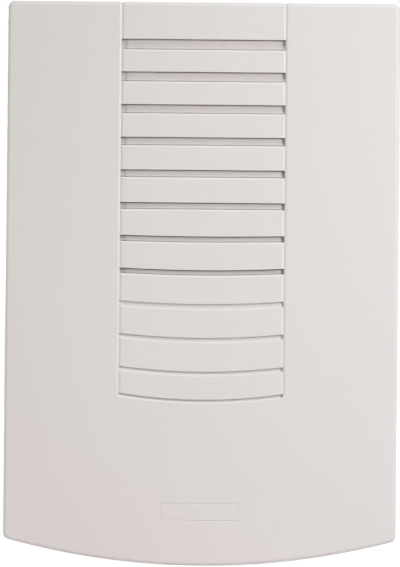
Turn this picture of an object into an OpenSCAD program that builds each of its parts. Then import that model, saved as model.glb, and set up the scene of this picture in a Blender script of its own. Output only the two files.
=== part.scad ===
// Two-note door chime in a moulded wall box.
// Pressing the bell push feeds the coil, which throws the plunger on to the high bar.
// Letting go lets the spring throw it back on to the low bar.
// Each module is drawn flat on the wall: x to the right, y up the wall, z out into the room.
// stand_up() turns it upright, so that the front faces -Y, +Z is up and the wall is at Y = 0.

/* [Case] */
// Width of the cover
case_w = 140; // [134:1:180]
// Height of the cover at its middle
case_h = 201; // [196:1:240]
// Depth from the wall to the front face
case_d = 48; // [44:1:60]
// How far the curved bottom edge hangs at its middle
bottom_sag = 9.3; // [6:0.1:14]
// Corner radius of the outline
corner_r = 2.4; // [1.5:0.1:5]
// Radius round the front edge
front_edge_r = 1.4; // [0.6:0.1:2]
// Wall thickness of the cover
cover_wall = 2.2; // [1.8:0.1:3]
// Gap between the cover and the rim of the base, all round
cover_clear = 0.3; // [0.2:0.05:0.6]
// Shadow gap between the back of the cover and the base
cover_back_gap = 0.4; // [0.2:0.1:1]

/* [Louvre] */
// Width of the louvre band between the middles of its side grooves
band_w = 58.6; // [40:0.2:80]
// Width of each side groove
groove_w = 1.1; // [0.6:0.1:1.4]
// Depth of each side groove
groove_depth = 0.3; // [0.2:0.05:0.8]
// Wall thickness behind the louvre
louvre_t = 3.4; // [2.8:0.1:4.5]
// How far the thick wall reaches past the band
louvre_margin = 3; // [2:0.5:6]
// Number of slots
slot_count = 12; // [8:1:12]
// Slots that let the sound out, counted from the top
open_slots = 8; // [4:1:8]
// Slots that run straight, counted from the top
straight_slots = 6; // [1:1:7]
// Drop from the top edge to the first slot
first_slot_drop = 13.2; // [9:0.1:18]
// Pitch of the slots, at their ends
slot_pitch = 11.68; // [9:0.02:12.4]
// Pitch from the slot before the last to the last one
last_slot_pitch = 9.6; // [8:0.1:12]
// Height of the first slot
first_slot_h = 3.65; // [3.4:0.05:4.6]
// Loss of height from each slot to the next
slot_h_step = 0.27; // [0.1:0.01:0.28]
// Sag that each curved slot adds to the one before
slot_sag_step = 0.38; // [0.1:0.02:0.5]
// Height of the through slit at the top of an open slot
slit_h = 0.25; // [0.2:0.05:1.2]
// Depth of an open slot's floor where it meets the slit, as a share of the slot's height
floor_deep = 0.62; // [0.5:0.01:0.7]
// Depth of an open slot's floor at its lower edge, as a share of the slot's height
floor_shallow = 0.55; // [0.3:0.01:0.6]
// Depth of a closed slot's floor at its upper edge
blind_deep = 0.9; // [0.6:0.1:1.6]
// Depth of a closed slot's floor at its lower edge
blind_shallow = 0.4; // [0.1:0.05:0.5]

/* [Engraved frame] */
// Width of the engraved frame near the bottom edge
frame_w = 27.8; // [16:0.2:40]
// Height of the frame
frame_h = 6.5; // [4:0.1:10]
// Width of the frame's line
frame_line = 0.5; // [0.3:0.05:0.8]
// Depth of the frame's line
frame_depth = 0.2; // [0.1:0.05:0.4]
// Rise of the middle of the frame above the lowest point of the case
frame_rise = 19.1; // [14:0.1:30]

/* [Base] */
// Thickness of the base
base_t = 3; // [2.6:0.1:4]
// How far the base stands in from the outline of the cover
base_inset = 0.9; // [0.4:0.1:1.5]
// Thickness of the rim that the cover slips over
rim_t = 1.8; // [1.4:0.1:2.6]
// Height of the rim above the base
rim_h = 9; // [6:0.5:14]
// Radius of the friction lugs on the rim
lug_r = 1.2; // [0.9:0.1:1.6]
// Distance of the side lugs from the middle, up and down
lug_rise = 50; // [20:1:60]
// Distance of the top lugs from the middle, left and right
lug_run = 35; // [15:1:50]
// Gap between a friction lug and the cover
lug_clear = 0.05; // [0.02:0.01:0.1]
// Depth of the relief in the back of the base
relief_depth = 1; // [0.5:0.1:1.2]
// Width of the land round the relief
relief_land = 7; // [5:0.5:12]
// Thickness of the stiffening ribs
rib_t = 1.6; // [1.2:0.1:2.4]
// Height of the stiffening ribs
rib_h = 3; // [1.5:0.5:4]

/* [Wall fixing] */
// Distance between the two wall screws
wall_hole_pitch = 166; // [150:1:170]
// Diameter of the wall screw holes
wall_hole_d = 4.6; // [3.6:0.1:5.4]
// Width of the ring round a hole in the base
hole_ring = 3.4; // [2:0.2:4]
// Height of the ring round a hole in the base
hole_ring_h = 1.6; // [0.8:0.2:2.4]
// Diameter of the cable entry
cable_hole_d = 12; // [8:0.5:13]
// Drop from the middle of the case to the cable entry
cable_hole_drop = 64; // [63:0.5:65]

/* [Coil] */
// Rise of the plunger's axis above the middle of the case
mech_rise = 12; // [8:0.5:13]
// Distance from the wall to the plunger's axis
axis_h = 24; // [23:0.5:25]
// Length of the bobbin over its flanges
bobbin_len = 42.8; // [36:0.2:48]
// Side of the square bobbin flanges
flange_side = 26; // [24:0.5:27]
// Thickness of the bobbin flanges
flange_t = 1.6; // [1.2:0.1:2]
// Wall thickness of the bobbin's tube
bobbin_wall = 0.7; // [0.5:0.05:1]
// Outside diameter of the winding
winding_d = 22.8; // [16:0.2:23]
// Thickness of the tape over the winding
tape_t = 0.4; // [0.2:0.05:0.6]
// Wall thickness of the brass guide tube
tube_wall = 0.45; // [0.3:0.05:0.6]
// Sheet thickness of the yoke
yoke_t = 1.6; // [1.2:0.1:2]
// Width of the yoke's cheeks
cheek_w = 24; // [20:0.5:26]
// Gap between the bobbin and the yoke's foot
foot_gap = 2.4; // [1:0.1:3]
// Distance between the two yoke screws
yoke_hole_pitch = 35; // [34:0.5:40]
// Foot left round each yoke screw hole
foot_margin = 4.5; // [4:0.5:6]
// Diameter of the bosses under the yoke
boss_d = 8; // [6:0.5:9]
// Diameter of the bobbin's two pins
pin_d = 1; // [0.8:0.1:1.2]
// Length of a pin outside the bobbin
pin_len = 5; // [3:0.5:6]
// Distance between the two pins
pin_pitch = 12; // [8:0.5:16]

/* [Plunger] */
// Diameter of the steel core
core_d = 8; // [7:0.2:8.4]
// Running clearance of the core in its tube, all round
core_clear = 0.08; // [0.03:0.01:0.1]
// Length of the steel core
core_len = 48; // [44:1:52]
// How far the middle of the core rests to the left of the coil
core_rest = 6; // [4:0.5:7]
// Travel to the high bar
ding_travel = 7; // [5:0.5:8]
// Travel back to the low bar
dong_travel = 2; // [1:0.25:3]
// Gap left to a bar at the end of the travel
strike_gap = 0.1; // [0.05:0.01:0.3]
// Diameter of the striker rods
rod_d = 6; // [5:0.2:7]
// Length of the strikers' tapered noses
nose_len = 2; // [1:0.1:2.2]
// Diameter of the spigots that hold the strikers in the core
spigot_d = 4; // [3:0.1:4.4]
// Length of a spigot
spigot_len = 7; // [5:0.5:9]
// Thickness of the striker's spring flange
collar_t = 2; // [1.4:0.1:3]
// Rest length of the return spring
spring_len = 18; // [16:0.5:20]
// Mean diameter of the spring
spring_d = 11; // [10.6:0.1:12]
// Wire diameter of the spring
spring_wire = 0.8; // [0.5:0.05:1]
// Number of turns in the spring
spring_turns = 7; // [5:1:9]

/* [Tone bars] */
// Room between the bars' screws and the rim of the base
bar_side_room = 4.5; // [2:0.1:7]
// Length of the low bar, on the left
low_bar_len = 146; // [138:1:152]
// Length of the high bar, on the right
high_bar_len = 130; // [120:1:140]
// Width of a bar
bar_w = 26; // [22:0.5:28]
// Thickness of a bar
bar_t = 2.5; // [2:0.1:3]
// Diameter of the holes in a bar
bar_hole_d = 9; // [8:0.1:10]
// Diameter of a grommet's flanges
grommet_d = 13; // [12:0.2:15]
// Thickness of a grommet's flanges
grommet_flange = 3; // [2:0.1:3.4]
// Diameter of a grommet's bore
grommet_bore = 4.2; // [4:0.1:5]
// Thickness of the posts that carry the bars
post_t = 6; // [5:0.5:8]
// Width of the posts
post_w = 10; // [8:0.5:13]
// Length of the post above the screw
post_cap = 6; // [5:0.5:8]

/* [Terminal block] */
// Drop from the middle of the case to the middle of the block
block_drop = 42; // [41.5:0.1:42.5]
// Width of the block
block_w = 26; // [25:0.5:34]
// Length of the block, along the wires
block_len = 16; // [14:0.5:17]
// Height of the block
block_h = 15.5; // [14.5:0.5:18]
// Height of the pad that carries the block
block_pad = 3.5; // [3:0.1:4.5]
// Distance between the two poles
pole_pitch = 14; // [13.8:0.1:16]
// Width of a brass clamp
clamp_w = 6; // [5:0.1:6.4]
// Length of a brass clamp
clamp_len = 12; // [11:0.5:13]
// Height of the wires above the block's foot
wire_rise = 7; // [5:0.1:8]
// Height of a brass clamp
clamp_h = 7; // [6:0.2:8]
// Diameter of the wire bore
wire_bore = 3.2; // [2.4:0.1:3.6]
// Web left between the two wires in a clamp
clamp_web = 1; // [0.6:0.1:2]
// Distance between the two screws of a pole
clamp_screw_pitch = 7; // [6:0.1:7.5]

/* [Screws] */
// Diameter of the self-tapping screws
screw_d = 3.5; // [3:0.1:3.8]
// Diameter of their heads
screw_head_d = 7; // [6:0.1:7]
// Height of their heads
screw_head_h = 2.4; // [1.6:0.1:2.6]
// Grip of the screws in the plastic
screw_grip = 4.5; // [3.5:0.1:5]
// Thickness of the washers
washer_t = 0.8; // [0.5:0.1:1.2]
// Diameter of the washers
washer_d = 11; // [9:0.1:13]
// Diameter of the terminal screws
clamp_screw_d = 3; // [2.5:0.1:3]
// Diameter of the terminal screws' heads
clamp_head_d = 3.8; // [3.4:0.1:4.4]
// Height of the terminal screws' heads
clamp_head_h = 1.6; // [1:0.1:1.8]
// Length of the terminal screws' shanks
clamp_screw_len = 4.5; // [4:0.1:4.6]
// Width of the cross slots in all screw heads
screw_slot_w = 0.8; // [0.5:0.05:1]
// Diameter of the coil leads
lead_d = 1.6; // [1.2:0.1:2]

/* [Hidden] */
$fn = 64;

// Small allowances that every fit shares.
fit = 0.05;        // gap of pieces that are pushed together
past = 1;          // how far a cut runs past the surface that it opens
head_clear = 0.15; // gap round a screw head in its hole
bond = 0.5;        // how far one moulded feature is rooted in the next
skin = 0.01;       // thickness of a layer that is only there to be hulled
sharp_r = 0.2;     // radius of an inside corner that is as good as sharp

// The form of a screw head, as shares of its own size.
crown_share = 0.4;       // height of the crown
crown_top_share = 0.66;  // width of the crown's flat top
slot_share = 0.6;        // length of the cross slots

// The outline of the case.
corner_steps = 6;
bottom_steps = 24;
bottom_r = (case_w * case_w / 4 + bottom_sag * bottom_sag) / (2 * bottom_sag);
bottom_cy = bottom_r - case_h / 2;
cover_back = base_t + cover_back_gap;
rim_inset = cover_wall + cover_clear;

// The louvre.
slot_w = band_w;
last_slot = slot_count - 1;
function slot_drop(k) = first_slot_drop + (k < last_slot ? k * slot_pitch
                                                         : (k - 1) * slot_pitch + last_slot_pitch);
function slot_y(k) = case_h / 2 - slot_drop(k);
function slot_h(k) = first_slot_h - k * slot_h_step;
function slot_sag(k) = max(k + 1 - straight_slots, 0) * slot_sag_step;

// The coil, about the plunger's axis.
tube_r = core_d / 2 + core_clear;
tube_outer_r = tube_r + tube_wall;
bobbin_r = tube_outer_r + fit;
winding_r = bobbin_r + bobbin_wall + fit;
cheek_x = bobbin_len / 2 + fit;
yoke_x = cheek_x + yoke_t;
foot_z = axis_h - flange_side / 2 - foot_gap - yoke_t;
foot_len = yoke_hole_pitch + 2 * foot_margin;
pilot_r = screw_d / 2 + fit / 2;

// The bars' fixings, from the rim of the base inwards.
screw_seat_x = case_w / 2 - rim_inset - rim_t - bar_side_room - screw_head_h;
washer_x = screw_seat_x - washer_t;
bar_x = washer_x - grommet_flange - bar_t;

// The plunger, along its axis at rest.
core_left = -core_rest - core_len / 2;
core_right = -core_rest + core_len / 2;
dong_tip = -bar_x + dong_travel + strike_gap;
ding_tip = bar_x - ding_travel - strike_gap;
collar_x = -yoke_x - spring_len;
collar_d = spring_d + 2 * spring_wire;
spigot_clear = 0.02;

// The tone bars. A free bar stands still at this share of its length from each end.
still_share = 0.2242;
function bar_len(side) = side < 0 ? low_bar_len : high_bar_len;
function still_y(side, end) = mech_rise + end * bar_len(side) * (0.5 - still_share);
post_x = bar_x - grommet_flange;

// The terminal block.
block_z = base_t + block_pad;
pole_z = block_z + wire_rise;
clamp_bore_len = (clamp_len - clamp_web) / 2;
block_head_z = block_z + block_h - screw_head_h;
block_shank = block_head_z - block_z + screw_grip;

// The ribs of the base, midway between the pieces on either side of them.
rib_x = (yoke_x + post_x - post_t) / 2;
top_rib_y = (mech_rise + foot_len / 2 + wall_hole_pitch / 2) / 2;
low_rib_y = -(block_drop + block_len / 2 + cable_hole_drop - cable_hole_d / 2 - hole_ring) / 2;

// The coil leads: out of the bobbin's pins, along points chosen by hand, and into the terminal block.
lead_sides = 8;
pin_x = (bobbin_len - flange_t) / 2;
pin_root_y = mech_rise - flange_side / 2;
function pin_z(end) = axis_h + end * pin_pitch / 2;
function lead_start(end) = [for (run = [0, 2]) [pin_x, pin_root_y - pin_len - run, pin_z(end)]];
function lead_end(pole) = [for (run = [0, 3, 6])
    [pole * pole_pitch / 2, block_len / 2 - block_drop - run, pole_z]];
BROWN_ROUTE = concat(lead_start(-1),
                     [[20.2, -11, 17.2], [18.8, -15, 15.8], [16.4, -19, 14.5], [13.4, -23, 13.8],
                      [10.4, -27, 13.5], [8, -31, 13.5]],
                     lead_end(1));
BLUE_ROUTE = concat(lead_start(1),
                    [[20.2, -11, 28.8], [18, -15, 26], [13.4, -19, 22.6], [7.2, -23, 19.4],
                     [0.8, -27, 16.6], [-4.4, -31, 14.4]],
                    lead_end(-1));

// The return spring: straight ends, one wire diameter long, and a helix between them.
spring_rings = 8;
spring_sides = 6;
spring_run = spring_len - 2 * (spring_wire + fit);
function spring_point(i) = let (a = 360 * i / spring_rings, share = i / (spring_rings * spring_turns))
    [-yoke_x - fit - spring_wire - share * spring_run,
     mech_rise + spring_d / 2 * cos(a), axis_h + spring_d / 2 * sin(a)];
spring_last = spring_rings * spring_turns;
SPRING_ROUTE = concat([spring_point(0) + [spring_wire, 0, 0]],
                      [for (i = [0:spring_last]) spring_point(i)],
                      [spring_point(spring_last) - [spring_wire, 0, 0]]);
spring_gap = min([for (i = [0:spring_last - spring_rings + 1], j = [i + spring_rings - 1:spring_last])
                  norm(spring_point(j) - spring_point(i))]) - spring_wire;
echo(least_spring_gap = spring_gap);

// Shapes that several pieces share.

module stand_up() {
    rotate([90, 0, 0]) children();
}

// A piece turned about z is laid along x, through the plunger's axis.
module on_axis(x = 0, y = mech_rise) {
    translate([x, y, axis_h]) rotate([0, 90, 0]) children();
}

function arc_points(cx, cy, r, from, to, steps, first = 0, last = 0) =
    [for (i = [first:steps - last])
     let (a = from + (to - from) * i / steps) [cx + r * cos(a), cy + r * sin(a)]];

// The outline of the case, moved in by inset: three straight sides and a curved bottom.
function outline(inset) =
    let (r = max(corner_r - inset, sharp_r),
         x = case_w / 2 - inset - r,
         y_top = case_h / 2 - inset - r,
         reach = bottom_r - inset - r,
         y_low = bottom_cy - sqrt(reach * reach - x * x),
         swing = asin(x / reach))
    concat(arc_points(x, y_top, r, 0, 90, corner_steps),
           arc_points(-x, y_top, r, 90, 180, corner_steps),
           arc_points(-x, y_low, r, 180, 270 - swing, corner_steps),
           arc_points(0, bottom_cy, bottom_r - inset, 270 - swing, 270 + swing, bottom_steps, 1, 1),
           arc_points(x, y_low, r, 270 + swing, 360, corner_steps));

module slab(inset, h) {
    linear_extrude(h) polygon(outline(inset));
}

module ring(outer_r, inner_r, h) {
    difference() {
        cylinder(r = outer_r, h = h);
        translate([0, 0, -past]) cylinder(r = inner_r, h = h + 2 * past);
    }
}

module block(x, y, z, w, l, h) {
    translate([x - w / 2, y - l / 2, z]) cube([w, l, h]);
}

// A round tube swept along a list of points, with a ring of vertices at each of them.
function unit(v) = v / norm(v);
function tangent(p, i) = unit(p[min(i + 1, len(p) - 1)] - p[max(i - 1, 0)]);
function square_to(v, t) = unit(v - (v * t) * t);
function any_square(t) = square_to(abs(t.z) < 0.9 ? [0, 0, 1] : [1, 0, 0], t);
function carried(p) = [for (i = 0, v = any_square(tangent(p, 0)); i < len(p);
                            i = i + 1, v = i < len(p) ? square_to(v, tangent(p, i)) : v) v];

module tube(p, d, sides) {
    normals = carried(p);
    last = len(p) - 1;
    rings = [for (i = [0:last], s = [0:sides - 1])
             let (t = tangent(p, i), n = normals[i], a = 360 * s / sides)
             p[i] + d / 2 * (cos(a) * n + sin(a) * cross(t, n))];
    walls = [for (i = [0:last - 1], s = [0:sides - 1])
             let (a = i * sides + s, b = i * sides + (s + 1) % sides)
             each [[a, a + sides, b], [b, a + sides, b + sides]]];
    caps = [for (s = [1:sides - 2]) each [[0, s, s + 1],
                                          [last * sides, last * sides + s + 1, last * sides + s]]];
    polyhedron(rings, concat(walls, caps));
}

// A pan-head screw standing on z = 0, with its shank below and a cross slot in its head.
module pan_screw(d, head_d, head_h, shank) {
    crown_h = head_h * crown_share;
    slot_depth = head_h / 2;
    difference() {
        union() {
            cylinder(d = head_d, h = head_h - crown_h);
            translate([0, 0, head_h - crown_h])
                cylinder(d1 = head_d, d2 = head_d * crown_top_share, h = crown_h);
            translate([0, 0, -shank]) cylinder(d = d, h = shank + bond);
        }
        for (turn = [0, 90])
            rotate(turn)
                block(0, 0, head_h - slot_depth, screw_slot_w, head_d * slot_share, slot_depth + past);
    }
}

// The front cover: one moulded shell with a louvre down its middle.

module cover_form() {
    hull() {
        translate([0, 0, cover_back]) slab(0, case_d - front_edge_r - cover_back);
        for (a = [15:15:90])
            translate([0, 0, case_d - front_edge_r * (1 - sin(a)) - skin])
                slab(front_edge_r * (1 - cos(a)), skin);
    }
}

module cover_hollow() {
    louvre_bottom = slot_y(last_slot) - slot_sag(last_slot) - slot_h(last_slot) - louvre_margin;
    difference() {
        translate([0, 0, cover_back - past]) slab(cover_wall, case_d - cover_wall - cover_back + past);
        translate([-slot_w / 2 - louvre_margin, louvre_bottom, case_d - louvre_t])
            cube([slot_w + 2 * louvre_margin, case_h, louvre_t]);
    }
}

// The section of a slot: [distance below its upper edge, z], as points in the plane of the cut.
function slot_section(k, start, way) =
    let (h = slot_h(k), over = case_d + past)
    [for (p = k < open_slots
            ? [[0, over], [0, case_d - louvre_t - past], [slit_h, case_d - louvre_t - past],
               [slit_h, case_d - floor_deep * h], [h, case_d - floor_shallow * h], [h, over]]
            : [[0, over], [0, case_d - blind_deep], [h, case_d - blind_shallow], [h, over]])
     [start + way * p.x, p.y]];

module straight_slot(k) {
    translate([-slot_w / 2, 0, 0]) rotate([90, 0, 90])
        linear_extrude(slot_w) polygon(slot_section(k, slot_y(k), -1));
}

module curved_slot(k) {
    sag = slot_sag(k);
    r = (slot_w * slot_w / 4 + sag * sag) / (2 * sag);
    swing = asin(slot_w / 2 / r) + 1;
    intersection() {
        translate([0, slot_y(k) - sag + r, 0]) rotate(270 - swing)
            rotate_extrude(angle = 2 * swing, $fn = 360) polygon(slot_section(k, r, 1));
        translate([-slot_w / 2, slot_y(k) - case_h / 2, 0]) cube([slot_w, case_h, case_d + 2 * past]);
    }
}

// A V groove that runs out over the top edge.
module side_groove(x) {
    groove_bottom = slot_y(last_slot) - slot_h(last_slot) / 2;
    flare = groove_w / 2 * (1 + past / groove_depth);
    translate([x, groove_bottom + case_h, case_d]) rotate([90, 0, 0])
        linear_extrude(case_h) polygon([[-flare, past], [0, -groove_depth], [flare, past]]);
}

module louvre_cuts() {
    for (side = [-1, 1]) side_groove(side * band_w / 2);
    for (k = [0:last_slot])
        if (slot_sag(k) > 0) curved_slot(k);
        else straight_slot(k);
}

module engraved_frame() {
    y = frame_rise - case_h / 2;
    difference() {
        block(0, y, case_d - frame_depth, frame_w, frame_h, frame_depth + past);
        block(0, y, case_d - past, frame_w - 2 * frame_line, frame_h - 2 * frame_line, 3 * past);
    }
}

module front_cover() {
    color("gainsboro") difference() {
        cover_form();
        cover_hollow();
        louvre_cuts();
        engraved_frame();
    }
}

// The base: a plate on the wall, with a rim for the cover and the posts and bosses for the works.

module bar_post(side, end) {
    y = still_y(side, end);
    inner = post_x - post_t;
    root = base_t - bond;
    difference() {
        union() {
            block(side * (inner + post_t / 2), y, root, post_t, post_w, axis_h + post_cap - root);
            block(side * (inner - post_t / 2 + bond), y, root, post_t, rib_t, axis_h - post_cap - root);
        }
        on_axis(-case_w, y) cylinder(r = pilot_r, h = 2 * case_w);
    }
}

module rim_lugs() {
    lug_inset = cover_wall + lug_clear + lug_r;
    side_x = case_w / 2 - lug_inset;
    top_y = case_h / 2 - lug_inset;
    for (side = [-1, 1]) {
        for (y = [-lug_rise, lug_rise])
            translate([side * side_x, y, base_t - bond]) cylinder(r = lug_r, h = rim_h - lug_r + bond);
        translate([side * lug_run, top_y, base_t - bond]) cylinder(r = lug_r, h = rim_h - lug_r + bond);
    }
}

module floor_ribs() {
    for (side = [-1, 1])
        block(side * rib_x, (top_rib_y + low_rib_y) / 2, base_t - bond,
              rib_t, top_rib_y - low_rib_y, rib_h + bond);
    for (y = [top_rib_y, low_rib_y])
        block(0, y, base_t - bond, 2 * rib_x + rib_t, rib_t, rib_h + bond);
}

module wall_holes() {
    for (end = [-1, 1]) translate([0, end * wall_hole_pitch / 2, 0]) children();
}

module back_relief() {
    land_r = wall_hole_d / 2 + hole_ring + relief_land / 2;
    difference() {
        translate([0, 0, -past]) slab(base_inset + relief_land, relief_depth + past);
        wall_holes() translate([0, 0, -2 * past]) cylinder(r = land_r, h = base_t);
        translate([0, -cable_hole_drop, -2 * past]) cylinder(d = cable_hole_d + 2 * hole_ring, h = base_t);
        block(0, 0, -2 * past, case_w, relief_land, base_t);
    }
}

module base_plate() {
    boss_pitch = yoke_hole_pitch / 2;
    color("whitesmoke") difference() {
        union() {
            slab(base_inset, base_t);
            translate([0, 0, base_t - bond]) difference() {
                slab(rim_inset, rim_h + bond);
                translate([0, 0, -past]) slab(rim_inset + rim_t, rim_h + bond + 2 * past);
            }
            rim_lugs();
            floor_ribs();
            for (side = [-1, 1], end = [-1, 1]) bar_post(side, end);
            for (end = [-1, 1])
                translate([0, mech_rise + end * boss_pitch, base_t - bond])
                    cylinder(d = boss_d, h = foot_z - base_t + bond);
            block(0, -block_drop, base_t - bond,
                  block_w - 2 * rib_t, block_len - 2 * rib_t, block_pad + bond);
            wall_holes() cylinder(d = wall_hole_d + 2 * hole_ring, h = base_t + hole_ring_h);
            translate([0, -cable_hole_drop, 0])
                cylinder(d = cable_hole_d + 2 * hole_ring, h = base_t + hole_ring_h);
        }
        back_relief();
        for (end = [-1, 1])
            translate([0, mech_rise + end * boss_pitch, foot_z - screw_grip - fit])
                cylinder(r = pilot_r, h = screw_grip + past);
        translate([0, -block_drop, block_z - screw_grip + fit]) cylinder(r = pilot_r, h = screw_grip + past);
        wall_holes() translate([0, 0, -past]) cylinder(d = wall_hole_d, h = base_t + hole_ring_h + 2 * past);
        translate([0, -cable_hole_drop, -past])
            cylinder(d = cable_hole_d, h = base_t + hole_ring_h + 2 * past);
    }
}

// The solenoid: a bent steel yoke, a bobbin on a brass tube, the winding and its tape.

module coil_yoke() {
    color("silver") difference() {
        union() {
            block(0, mech_rise, foot_z, 2 * yoke_x, foot_len, yoke_t);
            for (side = [-1, 1])
                block(side * (cheek_x + yoke_t / 2), mech_rise, foot_z,
                      yoke_t, cheek_w, axis_h + flange_side / 2 - foot_z);
        }
        on_axis(-case_w) cylinder(r = tube_outer_r + fit, h = 2 * case_w);
        for (end = [-1, 1])
            translate([0, mech_rise + end * yoke_hole_pitch / 2, foot_z - past])
                cylinder(r = pilot_r + fit, h = yoke_t + 2 * past);
    }
}

module yoke_screws() {
    color("silver") for (end = [-1, 1])
        translate([0, mech_rise + end * yoke_hole_pitch / 2, foot_z + yoke_t])
            pan_screw(screw_d, screw_head_d, screw_head_h, yoke_t + screw_grip);
}

module coil_bobbin() {
    color("ivory") difference() {
        union() {
            for (side = [-1, 1])
                block(side * (bobbin_len - flange_t) / 2, mech_rise, axis_h - flange_side / 2,
                      flange_t, flange_side, flange_side);
            on_axis(-bobbin_len / 2) cylinder(r = bobbin_r + bobbin_wall, h = bobbin_len);
        }
        on_axis(-case_w) cylinder(r = bobbin_r, h = 2 * case_w);
        coil_pin_places() cylinder(d = pin_d + fit, h = pin_len);
    }
}

module coil_pin_places() {
    for (end = [-1, 1])
        translate([pin_x, pin_root_y, pin_z(end)]) rotate([-90, 0, 0]) children();
}

module coil_pins() {
    color("goldenrod") coil_pin_places() translate([0, 0, -pin_len])
        cylinder(d = pin_d, h = 2 * pin_len - fit);
}

module guide_tube() {
    half = yoke_x + fit;
    color("goldenrod") on_axis(-half) ring(tube_outer_r, tube_r, 2 * half);
}

module coil_winding() {
    half = bobbin_len / 2 - flange_t - fit;
    color("peru") on_axis(-half) ring(winding_d / 2, winding_r, 2 * half);
}

module coil_tape() {
    half = bobbin_len / 2 - flange_t - fit;
    color("gold") on_axis(-half) ring(winding_d / 2 + fit + tape_t, winding_d / 2 + fit, 2 * half);
}

module brown_lead() {
    color("saddlebrown") tube(BROWN_ROUTE, lead_d, lead_sides);
}

module blue_lead() {
    color("royalblue") tube(BLUE_ROUTE, lead_d, lead_sides);
}

// The two tone bars, each hung on rubber grommets where it stands still as it rings.

module tone_bar(side) {
    difference() {
        block(side * (bar_x + bar_t / 2), mech_rise, axis_h - bar_w / 2, bar_t, bar_len(side), bar_w);
        for (end = [-1, 1])
            on_axis(-case_w, still_y(side, end)) cylinder(d = bar_hole_d, h = 2 * case_w);
    }
}

module low_tone_bar() {
    color("lightsteelblue") tone_bar(-1);
}

module high_tone_bar() {
    color("lightsteelblue") tone_bar(1);
}

// Places a piece at each of the four bar fixings, with its z pointing out of the box.
module bar_fixings(x) {
    for (side = [-1, 1], end = [-1, 1])
        translate([side * x, still_y(side, end), axis_h]) rotate([0, side * 90, 0]) children();
}

module bar_grommets() {
    neck_r = bar_hole_d / 2 - fit;
    length = bar_t + 2 * grommet_flange;
    color("dimgray") bar_fixings(post_x) rotate_extrude()
        polygon([[grommet_bore / 2, 0], [grommet_d / 2, 0], [grommet_d / 2, grommet_flange],
                 [neck_r, grommet_flange], [neck_r, length - grommet_flange],
                 [grommet_d / 2, length - grommet_flange], [grommet_d / 2, length],
                 [grommet_bore / 2, length]]);
}

module bar_washers() {
    color("silver") bar_fixings(washer_x) ring(washer_d / 2, screw_d / 2 + 2 * fit, washer_t);
}

module bar_screws() {
    shank = screw_seat_x - post_x + screw_grip;
    color("silver") bar_fixings(screw_seat_x) pan_screw(screw_d, screw_head_d, screw_head_h, shank);
}

// The terminal block: a moulded body, two brass clamps and their screws.

module at_poles() {
    for (pole = [-1, 1]) translate([pole * pole_pitch / 2, -block_drop, pole_z]) children();
}

module terminal_block() {
    color("dimgray") difference() {
        block(0, -block_drop, block_z, block_w, block_len, block_h);
        at_poles() {
            block(0, 0, -clamp_h / 2 - fit, clamp_w + 2 * fit, block_len + 2 * past, clamp_h + 2 * fit);
            for (end = [-1, 1])
                translate([0, end * clamp_screw_pitch / 2, 0])
                    cylinder(d = clamp_head_d + 2 * head_clear, h = block_h);
        }
        translate([0, -block_drop, block_z - past]) cylinder(r = pilot_r + fit, h = block_h + 2 * past);
        translate([0, -block_drop, block_head_z]) cylinder(d = screw_head_d + 2 * head_clear, h = block_h);
    }
}

module terminal_clamps() {
    color("goldenrod") at_poles() difference() {
        block(0, 0, -clamp_h / 2, clamp_w, clamp_len, clamp_h);
        for (end = [-1, 1]) {
            translate([0, end * clamp_web / 2, 0]) rotate([-end * 90, 0, 0])
                cylinder(d = wire_bore, h = clamp_bore_len + past);
            translate([0, end * clamp_screw_pitch / 2, 0]) cylinder(d = clamp_screw_d + fit, h = clamp_h);
        }
    }
}

module terminal_screws() {
    lead_tip = lead_d / 2 + fit;
    wire_tip = wire_bore / 2 + fit;
    color("silver") at_poles() for (end = [-1, 1])
        translate([0, end * clamp_screw_pitch / 2, (end > 0 ? lead_tip : wire_tip) + clamp_screw_len])
            pan_screw(clamp_screw_d, clamp_head_d, clamp_head_h, clamp_screw_len);
}

module block_screw() {
    color("silver") translate([0, -block_drop, block_head_z])
        pan_screw(screw_d, screw_head_d, screw_head_h, block_shank - fit);
}

// The plunger: a steel core with a nylon striker in each end, and the spring that returns it.

module return_spring() {
    color("silver") tube(SPRING_ROUTE, spring_wire, spring_sides);
}

module plunger_core() {
    color("gray") difference() {
        on_axis(core_left) cylinder(d = core_d, h = core_len);
        on_axis(core_left - past) cylinder(d = spigot_d, h = spigot_len + fit + past);
        on_axis(core_right - spigot_len - fit) cylinder(d = spigot_d, h = spigot_len + fit + past);
    }
}

// A striker drawn up z from the core's end: a spigot below, a rod and a tapered nose above.
module striker(reach) {
    translate([0, 0, -spigot_len]) cylinder(d = spigot_d - 2 * spigot_clear, h = spigot_len + bond);
    cylinder(d = rod_d, h = reach - nose_len);
    translate([0, 0, reach - nose_len]) cylinder(d1 = rod_d, d2 = rod_d - 2 * nose_len, h = nose_len);
}

module dong_striker() {
    color("linen") union() {
        translate([core_left, mech_rise, axis_h]) rotate([0, -90, 0]) striker(core_left - dong_tip);
        on_axis(collar_x - collar_t) cylinder(d = collar_d, h = collar_t);
    }
}

module ding_striker() {
    color("linen") on_axis(core_right) striker(ding_tip - core_right);
}

stand_up() base_plate();
stand_up() coil_yoke();
stand_up() yoke_screws();
stand_up() coil_bobbin();
stand_up() guide_tube();
stand_up() coil_winding();
stand_up() coil_tape();
stand_up() coil_pins();
stand_up() brown_lead();
stand_up() blue_lead();
stand_up() low_tone_bar();
stand_up() high_tone_bar();
stand_up() bar_grommets();
stand_up() bar_washers();
stand_up() bar_screws();
stand_up() terminal_block();
stand_up() terminal_clamps();
stand_up() terminal_screws();
stand_up() block_screw();
stand_up() return_spring();
stand_up() plunger_core();
stand_up() dong_striker();
stand_up() ding_striker();
stand_up() front_cover();
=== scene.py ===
import math

import bmesh
import bpy
from mathutils import Matrix, Vector


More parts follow.
